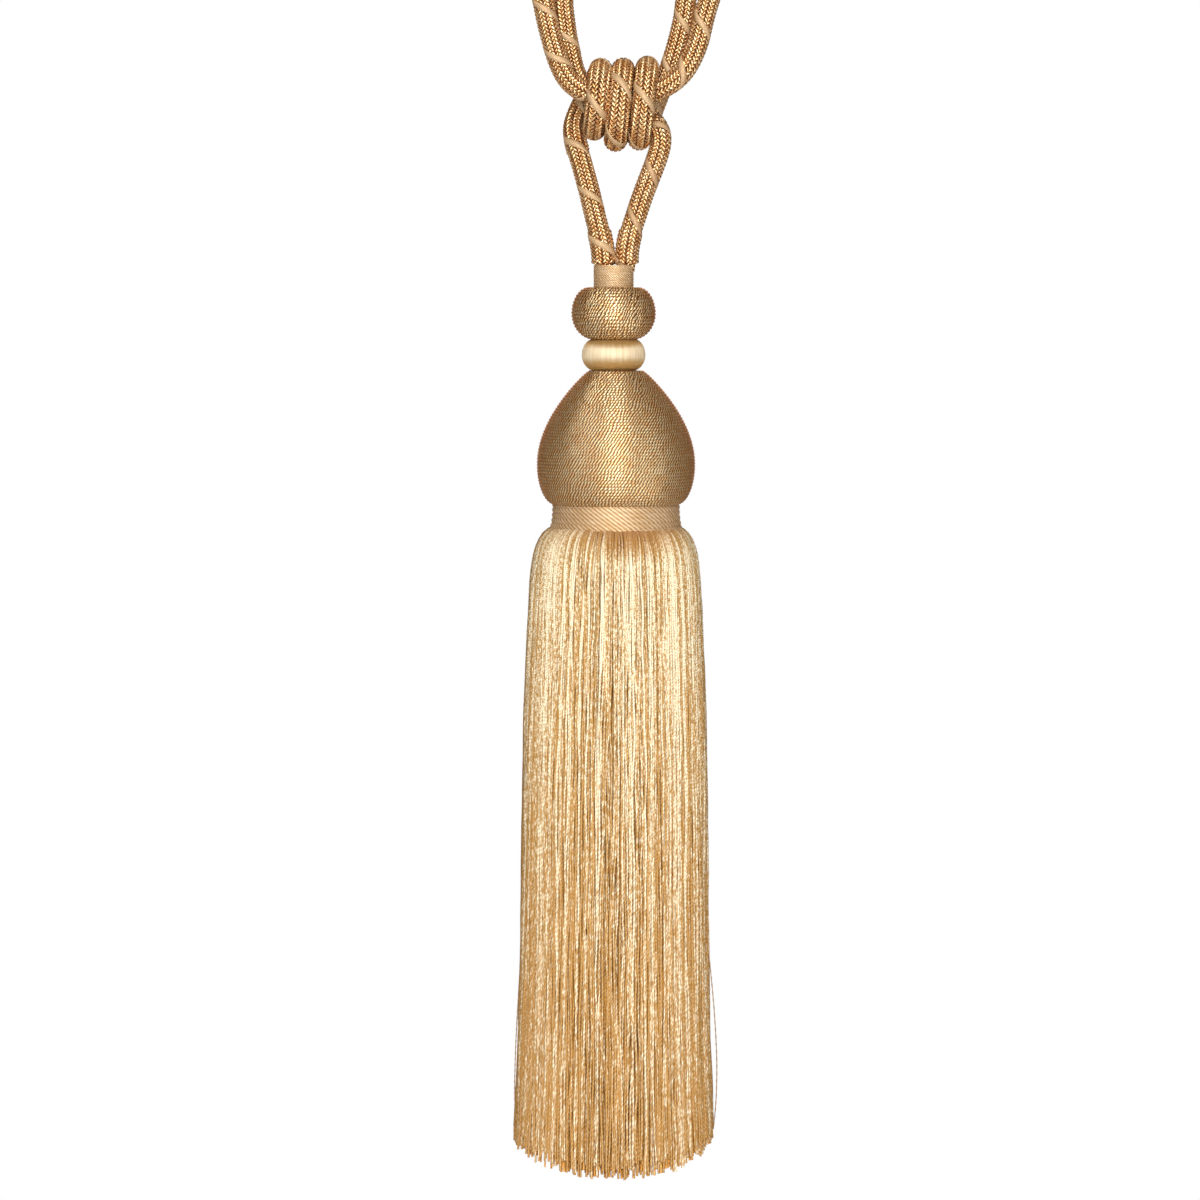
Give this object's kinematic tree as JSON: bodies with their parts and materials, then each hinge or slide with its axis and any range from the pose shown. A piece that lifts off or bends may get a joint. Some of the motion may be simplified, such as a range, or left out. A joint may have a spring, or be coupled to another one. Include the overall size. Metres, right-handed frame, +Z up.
{
  "type": "silk tassel on a braided cord tie",
  "caption": "Silk tassel with a wound pear-shaped head, beads, a corded collar and a long cut fringe, knotted to a braided gold cord tie with hanging loops.",
  "frame": {"origin": "the top of the two hanging loops, on the axis of the tassel's head", "axes": "+Z up along the hanging tassel, front of the knot facing -Y, +X to the right"},
  "size_m": [0.0856, 0.0665, 0.4351],
  "materials": {
    "braided_cord": "braided gold viscose cord with a flat beige tape over it",
    "gold_winding": "close winding of shiny gold two-ply gimp",
    "cream_floss": "smooth satin floss laid from end to end",
    "beige_cord": "matt beige two-ply cord",
    "fringe_silk": "fine silky threads in cream, gold and brown"
  },
  "bodies": {
    "root": {"embrace_cord": "braided_cord", "loop_cord": "braided_cord", "loop_tail": "braided_cord", "neck_binding": "beige_cord", "upper_bead": "gold_winding", "lower_bead": "cream_floss", "head": "gold_winding", "collar": "beige_cord", "skirt": "fringe_silk"}
  },
  "joints": []
}
